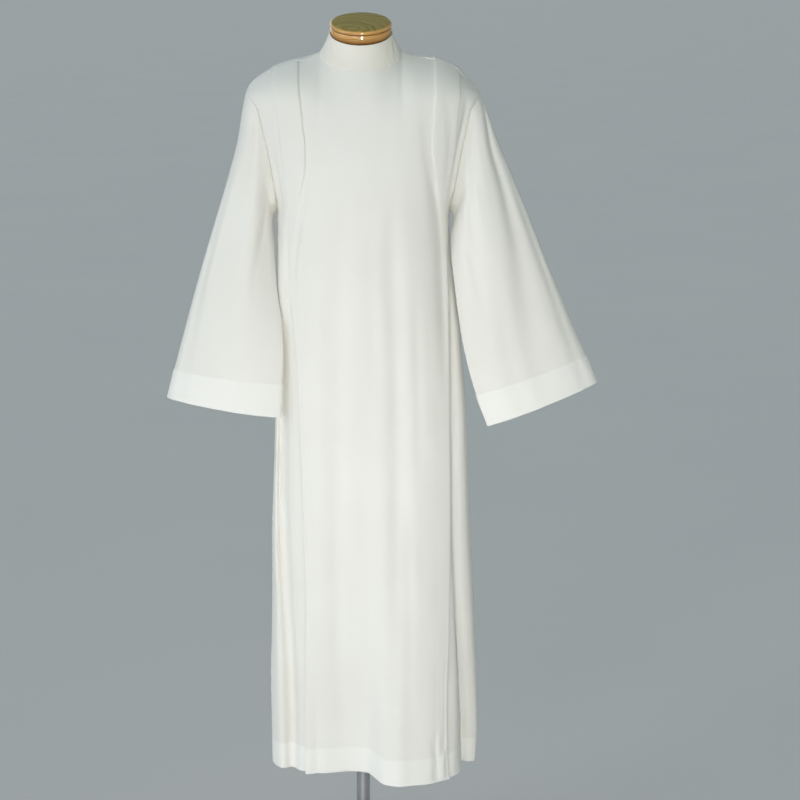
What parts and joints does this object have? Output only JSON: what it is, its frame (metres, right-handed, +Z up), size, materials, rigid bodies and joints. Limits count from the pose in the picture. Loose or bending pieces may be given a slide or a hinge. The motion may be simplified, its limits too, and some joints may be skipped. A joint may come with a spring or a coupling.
{
  "type": "alb robe on limbless dress form",
  "caption": "Full-length white alb with stand collar, box pleats from the shoulders and open bell sleeves, worn by a limbless dress form on a round base.",
  "frame": {"origin": "on the pole's axis at the underside of the base, where the stand meets the floor", "axes": "+Z up, the front of the robe faces -Y, +X is the wearer's left"},
  "size_m": [0.8811, 0.3458, 1.7769],
  "materials": {
    "front_cloth": "matte woven cream white cloth",
    "back_cloth": "matte woven cream white cloth",
    "collar_cloth": "matte woven cream white cloth, stiffened",
    "sleeve_right_cloth": "matte woven cream white cloth",
    "sleeve_left_cloth": "matte woven cream white cloth",
    "cuff_right_cloth": "matte woven cream white cloth, double",
    "cuff_left_cloth": "matte woven cream white cloth, double",
    "form_cover": "plain linen cover over a smooth torso",
    "varnished_wood": "clear gloss varnish",
    "pole_steel": "satin",
    "base_paint": "satin dark grey"
  },
  "bodies": {
    "root": {"front": "front_cloth", "back": "back_cloth", "collar": "collar_cloth", "sleeve_right": "sleeve_right_cloth", "sleeve_left": "sleeve_left_cloth", "cuff_right": "cuff_right_cloth", "cuff_left": "cuff_left_cloth", "form_torso": "form_cover", "neck_cap": "varnished_wood", "pole": "pole_steel", "base": "base_paint"}
  },
  "joints": []
}
